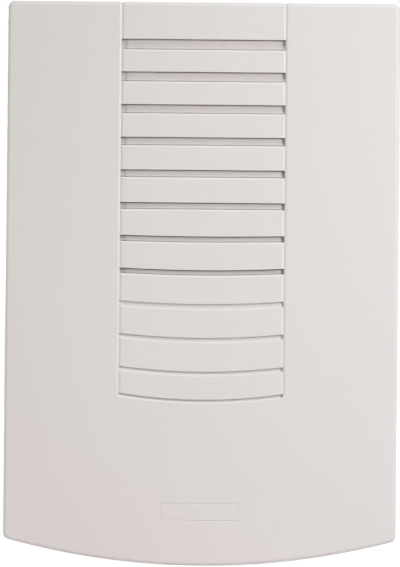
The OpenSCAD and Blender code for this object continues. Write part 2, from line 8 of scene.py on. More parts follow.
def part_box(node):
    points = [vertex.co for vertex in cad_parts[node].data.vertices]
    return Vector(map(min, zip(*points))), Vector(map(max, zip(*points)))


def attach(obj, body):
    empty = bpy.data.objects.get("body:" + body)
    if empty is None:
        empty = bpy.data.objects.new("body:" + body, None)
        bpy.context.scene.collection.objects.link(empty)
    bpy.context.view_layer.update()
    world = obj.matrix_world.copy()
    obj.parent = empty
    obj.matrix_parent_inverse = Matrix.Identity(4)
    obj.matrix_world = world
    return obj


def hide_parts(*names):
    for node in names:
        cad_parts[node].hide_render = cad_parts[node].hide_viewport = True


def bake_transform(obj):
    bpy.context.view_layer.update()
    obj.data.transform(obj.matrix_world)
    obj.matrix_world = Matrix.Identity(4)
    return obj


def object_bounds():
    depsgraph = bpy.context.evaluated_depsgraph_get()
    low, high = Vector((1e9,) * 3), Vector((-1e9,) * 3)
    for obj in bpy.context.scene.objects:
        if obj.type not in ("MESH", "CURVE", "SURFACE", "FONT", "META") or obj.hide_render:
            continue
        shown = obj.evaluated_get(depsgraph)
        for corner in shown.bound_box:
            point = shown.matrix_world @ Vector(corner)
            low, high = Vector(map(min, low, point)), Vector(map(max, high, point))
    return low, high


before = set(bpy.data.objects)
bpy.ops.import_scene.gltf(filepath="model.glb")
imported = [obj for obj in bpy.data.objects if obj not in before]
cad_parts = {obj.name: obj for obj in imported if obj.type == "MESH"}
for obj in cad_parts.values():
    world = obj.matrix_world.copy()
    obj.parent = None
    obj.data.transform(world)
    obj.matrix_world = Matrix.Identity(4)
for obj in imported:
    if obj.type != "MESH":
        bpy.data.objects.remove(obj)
cad_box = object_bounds()


# Base plate
# The moulded back of the box, in off-white plastic, screwed to the wall through two holes.
# Its rim carries the cover on six lugs, and its posts, bosses and pad carry the works.
mm = 0.001
base_edge_r = 0.25 * mm
weld_gap = 0.002 * mm
flat_angle = math.radians(0.5)
sharp_angle = math.radians(35)
patch_detail = 3.0
patch_range = (0.3, 0.7)
grain_detail = 2.0
gloss_drift = 0.12
relief_strength = 0.6


def merged_solid(node):
    """A copy of a solid as a bmesh, with its loose triangles joined into whole faces."""
    build = bmesh.new()
    build.from_mesh(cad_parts[node].data)
    bmesh.ops.remove_doubles(build, verts=build.verts, dist=weld_gap)
    bmesh.ops.dissolve_limit(build, angle_limit=flat_angle, verts=build.verts, edges=build.edges)
    return build


def show(name, mesh):
    """An object for a mesh that holds its own place."""
    piece = bpy.data.objects.new(name, mesh)
    bpy.context.scene.collection.objects.link(piece)
    return piece


def new_piece(name, build):
    """A smooth-shaded object made from a bmesh."""
    mesh = bpy.data.meshes.new(name)
    build.to_mesh(mesh)
    build.free()
    mesh.shade_smooth()
    return show(name, mesh)


def soften(piece, radius, steps=2):
    """Rounds the sharp edges of a piece, and keeps its flat faces flat in the light."""
    edges = piece.modifiers.new("rounded_edges", "BEVEL")
    edges.limit_method = "ANGLE"
    edges.angle_limit = sharp_angle
    edges.width = radius
    edges.segments = steps
    faces = piece.modifiers.new("flat_faces", "WEIGHTED_NORMAL")
    faces.keep_sharp = True


def tint(red, green, blue):
    """A colour given in levels of 0 to 255, as the linear values that a shader takes."""
    shares = [level / 255 for level in (red, green, blue)]
    linear = [s / 12.92 if s <= 0.04045 else ((s + 0.055) / 1.055) ** 2.4 for s in shares]
    return (*linear, 1)


def add(tree, kind, *values, output=0, **settings):
    """Adds a node, sets it up, feeds its inputs in order and returns one of its outputs.
    A socket is linked, a list of sockets goes into one input, and a plain value is set."""
    node = tree.nodes.new(kind)
    for setting, value in settings.items():
        setattr(node, setting, value)
    for socket, value in zip([s for s in node.inputs if s.enabled], values):
        for source in value if isinstance(value, list) else [value]:
            if isinstance(source, bpy.types.NodeSocket):
                tree.links.new(source, socket)
            elif source is not None:
                socket.default_value = source
    if isinstance(output, str):
        return node.outputs[output]
    shown = [s for s in node.outputs if s.enabled]
    return shown[output] if shown else None


def finish(name, light, dark, patch, roughness, grain, depth, metallic=0.0, drawn=(1, 1, 1)):
    """A surface whose tone drifts from light to dark in patches of one size, under a fine grain of
    another size and depth. A share below 1 in drawn draws the pattern out along that axis."""
    material = bpy.data.materials.new(name)
    material.use_nodes = True
    tree = material.node_tree
    shader = tree.nodes["Principled BSDF"]
    shader.inputs["Metallic"].default_value = metallic
    place = add(tree, "ShaderNodeTexCoord", output="Object")
    place = add(tree, "ShaderNodeMapping", place, None, None, drawn)
    patches = add(tree, "ShaderNodeTexNoise", place, 1 / patch, patch_detail)
    grains = add(tree, "ShaderNodeTexNoise", place, 1 / grain, grain_detail)
    tone = add(tree, "ShaderNodeMix", patches, tint(*light), tint(*dark), data_type="RGBA")
    glossy = roughness * (1 - gloss_drift)
    dull = roughness * (1 + gloss_drift)
    gloss = add(tree, "ShaderNodeMapRange", patches, *patch_range, glossy, dull)
    relief = add(tree, "ShaderNodeBump", relief_strength, depth, None, grains)
    for source, socket in ((tone, "Base Color"), (gloss, "Roughness"), (relief, "Normal")):
        tree.links.new(source, shader.inputs[socket])
    return material


def dress(piece, body, material, slot, *nodes):
    """Gives a finished piece its material, rides it on its body and lets it stand for its solids."""
    piece.data.materials.clear()
    piece.data.materials.append(material)
    if body:
        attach(piece, body)
    if nodes:
        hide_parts(*nodes)


base_plastic = finish("base_plastic", light=(216, 213, 208), dark=(209, 205, 199), patch=25 * mm,
                      roughness=0.5, grain=0.5 * mm, depth=0.02 * mm)
base = new_piece("base_moulding", merged_solid("base_plate"))
soften(base, base_edge_r)
dress(base, "base", base_plastic, "base_plastic", "base_plate")


# Coil yoke
# A strip of zinc-plated steel bent into a U, which closes the magnetic path round the coil.
# Its foot stands on two bosses of the base.
yoke_edge_r = 0.3 * mm

zinc_plate = finish("zinc_plate", light=(198, 199, 197), dark=(168, 171, 172), patch=2.5 * mm,
                    roughness=0.36, grain=0.25 * mm, depth=0.01 * mm, metallic=1.0)
yoke = new_piece("bent_yoke", merged_solid("coil_yoke"))
soften(yoke, yoke_edge_r)
dress(yoke, "base", zinc_plate, "yoke_steel", "coil_yoke")


# Yoke screws
# Two zinc-plated pan-head screws with a rolled thread and a cross slot.
# They go through the yoke's foot into the bosses of the base.
screw_d = 3.5 * mm
screw_head_d = 7 * mm
screw_head_h = 2.4 * mm
head_edge_r = 0.25 * mm
head_dome_share = 0.45
thread_pitch = 1.3 * mm
thread_depth = 0.35 * mm
thread_crest = (0.45, 0.55)
neck_len = 0.6 * mm
neck_taper = 0.3 * mm
driver_slot_w = 0.8 * mm
driver_slot_share = 0.3
slot_spin = math.radians(67)
slot_edge_angle = math.radians(40)
x_axis, y_axis, z_axis = range(3)
room_side = Vector((0, -1, 0))


def arc(across, up, radius, start, stop, steps):
    """Points round part of a circle, from one angle to another in degrees."""
    angles = [math.radians(start + (stop - start) * i / steps) for i in range(steps + 1)]
    return [(across + radius * math.cos(a), up + radius * math.sin(a)) for a in angles]


def turned(profile, ring=False, sides=40):
    """A closed solid turned about Z from a profile of [radius, height].
    It runs from axis to axis, or back to its start where it is a ring."""
    build = bmesh.new()
    turns = [2 * math.pi * i / sides for i in range(sides)]
    rows = []
    for r, h in profile:
        spots = turns if r > 0 else [0]
        rows.append([build.verts.new((r * math.cos(a), r * math.sin(a), h)) for a in spots])
    for lower, upper in zip(rows, rows[1:] + rows[:1] if ring else rows[1:]):
        for i in range(sides):
            ends = (i, (i + 1) % sides)
            corners = [lower[k % len(lower)] for k in ends]
            corners += [upper[k % len(upper)] for k in reversed(ends)]
            build.faces.new(dict.fromkeys(corners))
    bmesh.ops.recalc_face_normals(build, faces=build.faces)
    return build


def lofted(loops):
    """A closed solid through a row of loops that have as many points each."""
    build = bmesh.new()
    rings = [[build.verts.new(point) for point in loop] for loop in loops]
    build.faces.new(rings[0])
    build.faces.new(rings[-1])
    for lower, upper in zip(rings, rings[1:]):
        for i in range(len(lower)):
            j = (i + 1) % len(lower)
            build.faces.new((lower[i], lower[j], upper[j], upper[i]))
    bmesh.ops.recalc_face_normals(build, faces=build.faces)
    return build


def bake(piece):
    """Keeps what a piece's modifiers make of it as plain mesh."""
    bpy.context.view_layer.update()
    graph = bpy.context.evaluated_depsgraph_get()
    piece.data = bpy.data.meshes.new_from_object(piece.evaluated_get(graph))
    piece.modifiers.clear()


def screw(d, head_d, head_h, length, slot_reach, slots):
    """A screw on Z that stands on its tip: a rolled thread, a short neck and a domed head
    with one slot, or two that cross."""
    seat = length - head_h
    root = d / 2 - thread_depth
    tip = d / 3
    threads = int((seat - tip - neck_len) / thread_pitch)
    profile = [(0, 0), (root / 2, 0)]
    for low in (tip + thread_pitch * i for i in range(threads)):
        profile += [(root, low), *((d / 2, low + thread_pitch * share) for share in thread_crest)]
    profile += [(root, tip + thread_pitch * threads), (d / 2, seat - neck_taper), (d / 2, seat)]
    profile += arc(head_d / 2 - head_edge_r, seat + head_edge_r, head_edge_r, 270, 360, steps=3)
    brow = length - head_h * head_dome_share
    dome = arc(0, 0, 1, 0, 90, steps=8)[:-1]
    profile += [(x * head_d / 2, brow + z * (length - brow)) for x, z in dome]
    piece = new_piece("screw_template", turned(profile + [(0, length)]))
    half = driver_slot_w / 2
    corners = [Vector((slot_reach * x, half * y)) for x, y in ((1, 1), (-1, 1), (-1, -1), (1, -1))]
    levels = (length - head_h / 2, length + head_h)
    for turn in (Matrix.Rotation(math.radians(90 * i), 2) for i in range(slots)):
        loops = [[(*(turn @ corner), level) for corner in corners] for level in levels]
        blade = new_piece("blade", lofted(loops))
        saw = piece.modifiers.new("driver_slot", "BOOLEAN")
        saw.object = blade
        saw.solver = "EXACT"
        bake(piece)
        bpy.data.objects.remove(blade)
    piece.data.shade_smooth()
    piece.data.set_sharp_from_angle(angle=slot_edge_angle)
    return piece


def solid_boxes(node):
    """The lowest and highest corners of each separate solid of a node, in the order of their places."""
    build = merged_solid(node)
    left = set(build.verts)
    boxes = []
    while left:
        reached, edge = set(), {left.pop()}
        while edge:
            reached |= edge
            edge = {e.other_vert(v) for v in edge for e in v.link_edges} - reached
        left -= reached
        spans = list(zip(*(v.co for v in reached)))
        boxes.append([Vector([pick(span) for span in spans]) for pick in (min, max)])
    build.free()
    return sorted(boxes, key=lambda box: tuple(box[0]))


def length_along(node, axis):
    """How long the first solid of a node is along an axis."""
    low, high = solid_boxes(node)[0]
    return (high - low)[axis]


def new_tree(name, **sockets):
    """A Geometry Nodes tree with named inputs, and the sockets that bring them in."""
    tree = bpy.data.node_groups.new(name, "GeometryNodeTree")
    tree.interface.new_socket("Geometry", in_out="INPUT", socket_type="NodeSocketGeometry")
    for label, kind in sockets.items():
        tree.interface.new_socket(label, in_out="INPUT", socket_type="NodeSocket" + kind)
    tree.interface.new_socket("Geometry", in_out="OUTPUT", socket_type="NodeSocketGeometry")
    source = tree.nodes.new("NodeGroupInput")
    return tree, {socket.name: socket for socket in source.outputs}


def end_tree(tree, shape, material):
    """Ends a tree as plain mesh with its material."""
    whole = add(tree, "GeometryNodeRealizeInstances", shape)
    add(tree, "NodeGroupOutput", add(tree, "GeometryNodeSetMaterial", whole, True, material))


def shape_of(tree, socket):
    """The geometry of the object that a socket names."""
    return add(tree, "GeometryNodeObjectInfo", socket, output="Geometry")


def grow(piece, tree, **sizes):
    """Runs a tree on a piece, with its inputs set by their identifiers, and keeps the plain mesh."""
    modifier = piece.modifiers.new(tree.name, "NODES")
    modifier.node_group = tree
    for socket in tree.interface.items_tree:
        if socket.in_out == "INPUT" and socket.name in sizes:
            modifier[socket.identifier] = sizes[socket.name]
    bake(piece)


def fixings_tree():
    """Sets a template on every point, turned as the point says."""
    tree, given = new_tree("fixings", template="Object", finish="Material")
    turn = add(tree, "GeometryNodeInputNamedAttribute", "turn", data_type="FLOAT_VECTOR")
    template = shape_of(tree, given["template"])
    fixed = add(tree, "GeometryNodeInstanceOnPoints", given["Geometry"], True, template, False, 0, turn)
    end_tree(tree, fixed, given["finish"])
    return tree


fixings = fixings_tree()


def fixing_set(name, node, template, material, slot, out=None):
    """Stands a template on the inner end of each solid of a node, pointing out of the works. Where no
    way out is given, it is to the left on the left of the box and to the right on its right."""
    places, turns = [], []
    for low, high in solid_boxes(node):
        middle = (low + high) / 2
        way = out or Vector((math.copysign(1, middle.x), 0, 0))
        spin = Matrix.Rotation(slot_spin * len(places), 3, "Z")
        places.append(middle - way * abs((high - low).dot(way)) / 2)
        turns += (way.to_track_quat("Z", "Y").to_matrix() @ spin).to_euler()
    mesh = bpy.data.meshes.new(name)
    mesh.from_pydata(places, [], [])
    mesh.attributes.new("turn", "FLOAT_VECTOR", "POINT").data.foreach_set("vector", turns)
    piece = show(name, mesh)
    grow(piece, fixings, template=template, finish=material)
    bpy.data.objects.remove(template)
    dress(piece, "base", material, slot, node)


def pan_screws(name, node, axis, out=None):
    """A set of the box's pan-head screws, as long as their solids."""
    length = length_along(node, axis)
    slot_reach = screw_head_d * driver_slot_share
    template = screw(screw_d, screw_head_d, screw_head_h, length, slot_reach, slots=2)
    fixing_set(name, node, template, zinc_plate, "screw_steel", out)


pan_screws("yoke_fixing_screws", "yoke_screws", y_axis, room_side)


# Coil bobbin
# A moulded nylon reel that carries the winding.
# Its square flanges sit between the yoke's cheeks.
bobbin_edge_r = 0.3 * mm
sink_depth = 1 * mm


def let_light_in(material, share):
    """Lets a little light sink into a milky plastic."""
    shader = material.node_tree.nodes["Principled BSDF"]
    shader.inputs["Subsurface Weight"].default_value = share
    shader.inputs["Subsurface Radius"].default_value = (sink_depth, sink_depth, sink_depth)


reel_nylon = finish("reel_nylon", light=(214, 205, 182), dark=(203, 193, 168), patch=9 * mm,
                    roughness=0.42, grain=0.3 * mm, depth=0.01 * mm)
let_light_in(reel_nylon, share=0.1)
bobbin = new_piece("moulded_reel", merged_solid("coil_bobbin"))
soften(bobbin, bobbin_edge_r)
dress(bobbin, "base", reel_nylon, "bobbin_nylon", "coil_bobbin")


# Guide tube
# A thin tube of drawn brass, in which the plunger runs.
# It goes through the bobbin and both cheeks of the yoke.
tube_wall = 0.45 * mm
tube_edge_r = 0.15 * mm
tube_low, tube_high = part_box("guide_tube")
tube_r = (tube_high.z - tube_low.z) / 2
axis_y = (tube_low.y + tube_high.y) / 2
axis_z = (tube_low.z + tube_high.z) / 2


def along_axis(build):
    """Lays a piece turned about Z along the plunger's axis, so that its heights are places on X."""
    lay = Matrix.Translation((0, axis_y, axis_z)) @ Matrix.Rotation(math.radians(90), 4, "Y")
    bmesh.ops.transform(build, matrix=lay, verts=build.verts)
    return build


def rounded_ring(inner, outer, low, high, edge, steps=4):
    """The profile of a ring with rounded edges."""
    corners = ((outer - edge, low + edge, 270), (outer - edge, high - edge, 0),
               (inner + edge, high - edge, 90), (inner + edge, low + edge, 180))
    return [point for r, h, start in corners for point in arc(r, h, edge, start, start + 90, steps)]


drawn_brass = finish("drawn_brass", light=(214, 180, 112), dark=(190, 152, 84), patch=3 * mm,
                     roughness=0.28, grain=0.4 * mm, depth=0.006 * mm, metallic=1.0, drawn=(0.15, 1, 1))
tube_profile = rounded_ring(tube_r - tube_wall, tube_r, tube_low.x, tube_high.x, tube_edge_r)
tube = new_piece("brass_tube", along_axis(turned(tube_profile, ring=True)))
dress(tube, "base", drawn_brass, "brass", "guide_tube")


# Coil winding
# Enamelled copper wire, wound in close layers between the flanges of the bobbin.
# The inner layers are one body, and the outer layer is drawn turn by turn.
winding_wire = 0.6 * mm
winding_bore_r = 5.33 * mm
winding_edge_r = 0.2 * mm
winding_low, winding_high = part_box("coil_winding")
winding_r = (winding_high.z - winding_low.z) / 2
outer_r = winding_r - winding_wire / 2


def wire_tree():
    """Draws a round wire along a row of points, smoothed between them, with closed ends."""
    tree, given = new_tree("wire", radius="Float", sides="Int", smoothing="Int", finish="Material")
    path = add(tree, "GeometryNodeMeshToCurve", given["Geometry"])
    path = add(tree, "GeometryNodeCurveSplineType", path, True, spline_type="CATMULL_ROM")
    path = add(tree, "GeometryNodeSetSplineResolution", path, True, given["smoothing"])
    section = add(tree, "GeometryNodeCurvePrimitiveCircle", given["sides"], given["radius"])
    drawn = add(tree, "GeometryNodeCurveToMesh", path, section, 1.0, True)
    end_tree(tree, add(tree, "GeometryNodeSetShadeSmooth", drawn), given["finish"])
    return tree


wire = wire_tree()


def wire_piece(name, points, d, material, sides, smoothing):
    """A wire of one thickness along a row of points."""
    mesh = bpy.data.meshes.new(name)
    mesh.from_pydata(points, [(i, i + 1) for i in range(len(points) - 1)], [])
    piece = show(name, mesh)
    grow(piece, wire, radius=d / 2, sides=sides, smoothing=smoothing, finish=material)
    return piece


def helix(start, stop, radius, turns, steps):
    """Points round the plunger's axis, from one place on X to another."""
    count = turns * steps
    spots = []
    for i in range(count + 1):
        a = 2 * math.pi * i / steps
        x = start + (stop - start) * i / count
        spots.append((x, axis_y - radius * math.sin(a), axis_z + radius * math.cos(a)))
    return spots


enamelled_copper = finish("enamelled_copper", light=(196, 116, 66), dark=(158, 84, 44), patch=4 * mm,
                          roughness=0.26, grain=0.5 * mm, depth=0.01 * mm, metallic=1.0)
layers_profile = rounded_ring(winding_bore_r, outer_r, winding_low.x, winding_high.x, winding_edge_r)
layers = new_piece("inner_layers", along_axis(turned(layers_profile, ring=True)))
dress(layers, "base", enamelled_copper, "winding_copper", "coil_winding")
first_turn = winding_low.x + winding_wire / 2
last_turn = winding_high.x - winding_wire / 2
layer_turns = int((last_turn - first_turn) / winding_wire)
layer_route = helix(first_turn, last_turn, outer_r, layer_turns, steps=16)
outer_layer = wire_piece("outer_layer", layer_route, winding_wire, enamelled_copper, sides=6, smoothing=1)
dress(outer_layer, "base", enamelled_copper, "winding_copper")


# Coil tape
# One wrap of yellow polyester tape round the winding, whose end laps over its start.
# It keeps the outer layer of wire in its place.
tape_gap = 0.05 * mm
tape_edge_r = 0.05 * mm
tape_coat = 0.4
lap_t = 0.12 * mm
lap_start = 200
lap_sweep = 50
lap_steps = 16
tape_low, tape_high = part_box("coil_tape")
tape_r = (tape_high.z - tape_low.z) / 2 - lap_t

polyester_tape = finish("polyester_tape", light=(222, 182, 66), dark=(206, 162, 44), patch=6 * mm,
                        roughness=0.3, grain=1.2 * mm, depth=0.03 * mm)
polyester_tape.node_tree.nodes["Principled BSDF"].inputs["Coat Weight"].default_value = tape_coat
tape_profile = rounded_ring(winding_r + tape_gap, tape_r, tape_low.x, tape_high.x, tape_edge_r, steps=2)
tape = new_piece("tape_wrap", along_axis(turned(tape_profile, ring=True, sides=72)))
dress(tape, "base", polyester_tape, "coil_tape", "coil_tape")
lap_stop = lap_start + lap_sweep
lap_under = arc(0, 0, tape_r - lap_t / 4, lap_start, lap_stop, lap_steps)
lap_over = arc(0, 0, tape_r + lap_t, lap_start, lap_stop, lap_steps)
lap_loops = [[(*under, tape_low.x), (*over, tape_low.x), (*over, tape_high.x), (*under, tape_high.x)]
             for under, over in zip(lap_under, lap_over)]
lap = new_piece("tape_lap", along_axis(lofted(lap_loops)))
soften(lap, lap_t / 4)
dress(lap, "base", polyester_tape, "coil_tape")


# Coil pins
# Two brass pins in the lower edge of the right flange. An end of the winding comes down the flange
# and wraps round each, and each lead is soldered to the tip of one.
pin_d = 1 * mm
pin_edge_r = 0.2 * mm
pin_len = length_along("coil_pins", z_axis)
down = Vector((0, 0, -1))
solder_d = 2.1 * mm
solder_len = 3.4 * mm
fall_heights = (3.6 * mm, 2 * mm, 0.4 * mm)
wrap_turns = 3
wrap_steps = 12
wrap_r = (pin_d + winding_wire) / 2
wrap_pitch = winding_wire * 1.08
flange_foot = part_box("coil_bobbin")[0].z

pin_end = arc(pin_d / 2 - pin_edge_r, pin_len - pin_edge_r, pin_edge_r, 0, 90, steps=4)
pin = new_piece("pin_template", turned([(0, 0), (pin_d / 2, 0), *pin_end, (0, pin_len)], sides=16))
fixing_set("brass_pins", "coil_pins", pin, drawn_brass, "brass", down)

soft_solder = finish("soft_solder", light=(186, 188, 190), dark=(150, 153, 156), patch=1.2 * mm,
                     roughness=0.3, grain=0.3 * mm, depth=0.02 * mm, metallic=1.0)
blob = [(solder_d / 2 * x, solder_len / 2 * z) for x, z in arc(0, 0, 1, -90, 90, steps=12)[1:-1]]
for number, (low, high) in enumerate(solid_boxes("coil_pins"), 1):
    middle = (low + high) / 2
    joint = turned([(0, -solder_len / 2), *blob, (0, solder_len / 2)], sides=20)
    bmesh.ops.translate(joint, verts=joint.verts, vec=middle + down * pin_len / 2)
    dress(new_piece(f"solder_joint_{number}", joint), "base", soft_solder, None)
    fall = [(last_turn, middle.y, flange_foot + height) for height in fall_heights]
    turns = [(2 * math.pi * i / wrap_steps, i / wrap_steps) for i in range(wrap_turns * wrap_steps + 1)]
    wrap = [(middle.x - wrap_r * math.cos(a), middle.y - wrap_r * math.sin(a),
             flange_foot - winding_wire - wrap_pitch * turn) for a, turn in turns]
    wire_end = wire_piece(f"wire_end_{number}", fall + wrap, winding_wire, enamelled_copper,
                          sides=8, smoothing=2)
    dress(wire_end, "base", enamelled_copper, "winding_copper")


# Coil leads
# Two flexible sleeved leads, brown and blue, from the pins to the upper ends of the terminal clamps.
# Their routes follow their solids, in millimetres to the right, up and out of the wall.
lead_d = 1.6 * mm
brown_route = [(20.6, -6, 18), (20.6, -8, 18), (20.2, -11, 17.2), (18.8, -15, 15.8), (16.4, -19, 14.5),
               (13.4, -23, 13.8), (10.4, -27, 13.5), (8, -31, 13.5), (7, -34, 13.5), (7, -37, 13.5),
               (7, -40, 13.5)]
blue_route = [(20.6, -6, 30), (20.6, -8, 30), (20.2, -11, 28.8), (18, -15, 26), (13.4, -19, 22.6),
              (7.2, -23, 19.4), (0.8, -27, 16.6), (-4.4, -31, 14.4), (-7, -34, 13.5), (-7, -37, 13.5),
              (-7, -40, 13.5)]

lead_tones = (("brown", brown_route, (98, 62, 42), (82, 49, 32)),
              ("blue", blue_route, (46, 88, 152), (34, 70, 130)))
for colour, route, light, dark in lead_tones:
    sleeve = finish(f"{colour}_sleeve", light, dark, patch=5 * mm,
                    roughness=0.42, grain=0.4 * mm, depth=0.01 * mm)
    lead_points = [(x * mm, -out * mm, up * mm) for x, up, out in route]
    lead = wire_piece(f"{colour}_sleeved_lead", lead_points, lead_d, sleeve, sides=16, smoothing=8)
    dress(lead, "base", sleeve, f"{colour}_sleeve", f"{colour}_lead")


# Plunger core
# A turned steel slug that the coil pulls to the right.
# A nylon striker is pressed into each of its ends.
core_low, core_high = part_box("plunger_core")
core_left, core_right = core_low.x, core_high.x
core_r = (core_high.z - core_low.z) / 2
core_chamfer = 0.5 * mm
core_edge_r = 0.1 * mm
spigot_r = 2 * mm
spigot_len = 7 * mm

turned_steel = finish("turned_steel", light=(158, 158, 156), dark=(128, 129, 130), patch=3 * mm,
                      roughness=0.32, grain=0.12 * mm, depth=0.008 * mm, metallic=1.0,
                      drawn=(1, 0.06, 0.06))
core_profile = [(0, core_left + spigot_len), (spigot_r, core_left + spigot_len), (spigot_r, core_left),
                (core_r - core_chamfer, core_left), (core_r, core_left + core_chamfer),
                (core_r, core_right - core_chamfer), (core_r - core_chamfer, core_right),
                (spigot_r, core_right), (spigot_r, core_right - spigot_len), (0, core_right - spigot_len)]
core = new_piece("turned_core", along_axis(turned(core_profile, sides=64)))
soften(core, core_edge_r)
dress(core, "plunger", turned_steel, "core_steel", "plunger_core")


# Strikers
# Two turned nylon rods with domed noses. The right one strikes the high bar and the left one the
# low bar. The left one has a flange that the return spring pushes on.
rod_r = 3 * mm
nose_len = 2 * mm
shoulder_r = 0.4 * mm
collar_t = 2 * mm
collar_r = 6.3 * mm
collar_x = -41.05 * mm
spigot_fit = 0.02 * mm
striker_edge_r = 0.1 * mm


def striker(name, shoulder, tip, collar, node):
    """A striker from the spigot in the core, over the shoulder and a flange, to its nose."""
    way = math.copysign(1, tip)
    start = shoulder - way * spigot_len
    spigot = spigot_r - spigot_fit
    brow = tip - way * nose_len
    bend = arc(-shoulder_r, shoulder_r, shoulder_r, -90, 0, steps=4)
    neck = [(rod_r + x, shoulder + way * z) for x, z in bend]
    dome = arc(0, 0, 1, 0, 90, steps=8)[:-1]
    end = [(rod_r * x, brow + way * nose_len * z) for x, z in dome]
    profile = [(0, start), (spigot, start), (spigot, shoulder), *neck, *collar, *end, (0, tip)]
    piece = new_piece(name, along_axis(turned(profile)))
    soften(piece, striker_edge_r)
    dress(piece, "plunger", striker_nylon, "striker_nylon", node)


striker_nylon = finish("striker_nylon", light=(226, 221, 205), dark=(216, 209, 190), patch=8 * mm,
                       roughness=0.4, grain=0.25 * mm, depth=0.008 * mm)
let_light_in(striker_nylon, share=0.15)
rim_r = collar_r - shoulder_r
flange = [(rod_r, collar_x),
          *arc(rim_r, collar_x - shoulder_r, shoulder_r, 90, 0, steps=4),
          *arc(rim_r, collar_x - collar_t + shoulder_r, shoulder_r, 0, -90, steps=4),
          (rod_r, collar_x - collar_t)]
striker("right_striker", core_right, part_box("ding_striker")[1].x, [], "ding_striker")
striker("left_striker", core_left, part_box("dong_striker")[0].x, flange, "dong_striker")


# Return spring
# A coil spring of drawn steel wire between the yoke and the flange of the left striker.
# One end stays on the yoke and the other goes with the plunger.
spring_wire = 0.8 * mm
spring_r = 5.5 * mm
spring_turns = 7
spring_low, spring_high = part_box("return_spring")

spring_steel = finish("spring_steel", light=(176, 178, 180), dark=(146, 148, 150), patch=2 * mm,
                      roughness=0.3, grain=0.2 * mm, depth=0.006 * mm, metallic=1.0)
coils = helix(spring_high.x - spring_wire, spring_low.x + spring_wire, spring_r, spring_turns, steps=12)
hook = Vector((spring_wire, 0, 0))
spring_route = [Vector(coils[0]) + hook, *coils, Vector(coils[-1]) - hook]
spring = wire_piece("spring_coils", spring_route, spring_wire, spring_steel, sides=10, smoothing=4)
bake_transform(spring)
dress(spring, None, spring_steel, "spring_steel", "return_spring")


# Tone bars
# Two flat bars of nickel-plated steel, brushed along their length.
# The left one is longer and sounds lower.
bar_edge_r = 0.45 * mm

brushed_nickel = finish("brushed_nickel", light=(204, 202, 196), dark=(178, 176, 170), patch=1.5 * mm,
                        roughness=0.3, grain=0.12 * mm, depth=0.012 * mm, metallic=1.0,
                        drawn=(1, 1, 0.02))
for note in ("low", "high"):
    bar = new_piece(f"{note}_brushed_bar", merged_solid(f"{note}_tone_bar"))
    soften(bar, bar_edge_r, steps=3)
    dress(bar, "base", brushed_nickel, "bar_steel", f"{note}_tone_bar")


# Bar grommets
# Four rubber grommets in the holes of the bars.
# They hang the bars where these stand still as they ring.
grommet_bore_r = 2.1 * mm
grommet_r = 6.5 * mm
grommet_neck_r = 4.45 * mm
grommet_flange = 3 * mm
grommet_edge_r = 1 * mm
grommet_edge_angle = math.radians(50)
grommet_len = length_along("bar_grommets", x_axis)

black_rubber = finish("black_rubber", light=(44, 43, 42), dark=(34, 33, 33), patch=3 * mm,
                      roughness=0.72, grain=0.2 * mm, depth=0.03 * mm)
brow_r = grommet_r - grommet_edge_r
near_flange = (arc(brow_r, grommet_edge_r, grommet_edge_r, 270, 360, steps=5)
               + arc(brow_r, grommet_flange - grommet_edge_r, grommet_edge_r, 0, 90, steps=5))
far_flange = [(r, grommet_len - h) for r, h in reversed(near_flange)]
grommet_profile = [(grommet_bore_r, 0), *near_flange, (grommet_neck_r, grommet_flange),
                   (grommet_neck_r, grommet_len - grommet_flange), *far_flange,
                   (grommet_bore_r, grommet_len)]
grommet = new_piece("grommet_template", turned(grommet_profile, ring=True))
grommet.data.set_sharp_from_angle(angle=grommet_edge_angle)
fixing_set("rubber_grommets", "bar_grommets", grommet, black_rubber, "grommet_rubber")


# Bar washers
# Four stamped washers of zinc-plated steel.
# They spread the pull of the screws over the grommets.
washer_bore_r = 1.85 * mm
washer_r = 5.5 * mm
washer_edge_r = 0.2 * mm
washer_t = length_along("bar_washers", x_axis)

washer_profile = rounded_ring(washer_bore_r, washer_r, 0, washer_t, washer_edge_r)
washer = new_piece("washer_template", turned(washer_profile, ring=True))
fixing_set("stamped_washers", "bar_washers", washer, zinc_plate, "screw_steel")


# Bar screws
# Four long zinc-plated pan-head screws.
# They go through the washers and grommets into the posts of the base.
pan_screws("bar_fixing_screws", "bar_screws", x_axis)


# Terminal block
# A dark grey moulding with two clamps for the bell wires.
# One screw in its middle holds it on the base's pad.
block_edge_r = 0.35 * mm

block_plastic = finish("block_plastic", light=(66, 66, 66), dark=(56, 56, 57), patch=12 * mm,
                       roughness=0.5, grain=0.35 * mm, depth=0.02 * mm)
block = new_piece("terminal_moulding", merged_solid("terminal_block"))
soften(block, block_edge_r)
dress(block, "base", block_plastic, "block_plastic", "terminal_block")


# Terminal clamps
# Two brass bars in the terminal block.
# Each has a wire hole in both ends, with a tapped hole over it.
clamp_edge_r = 0.2 * mm

clamps = new_piece("brass_clamps", merged_solid("terminal_clamps"))
soften(clamps, clamp_edge_r)
dress(clamps, "base", drawn_brass, "brass", "terminal_clamps")


# Terminal screws
# Four small slotted screws of zinc-plated steel.
# They press the leads and the bell wires into the clamps.
clamp_screw_d = 3 * mm
clamp_head_d = 3.8 * mm
clamp_head_h = 1.6 * mm
clamp_screw_len = length_along("terminal_screws", y_axis)

clamp_screw = screw(clamp_screw_d, clamp_head_d, clamp_head_h, clamp_screw_len, clamp_head_d, slots=1)
fixing_set("clamping_screws", "terminal_screws", clamp_screw, zinc_plate, "screw_steel", room_side)


# Block screw
# One zinc-plated pan-head screw.
# It holds the terminal block on the pad of the base.
pan_screws("block_fixing_screw", "block_screw", y_axis, room_side)


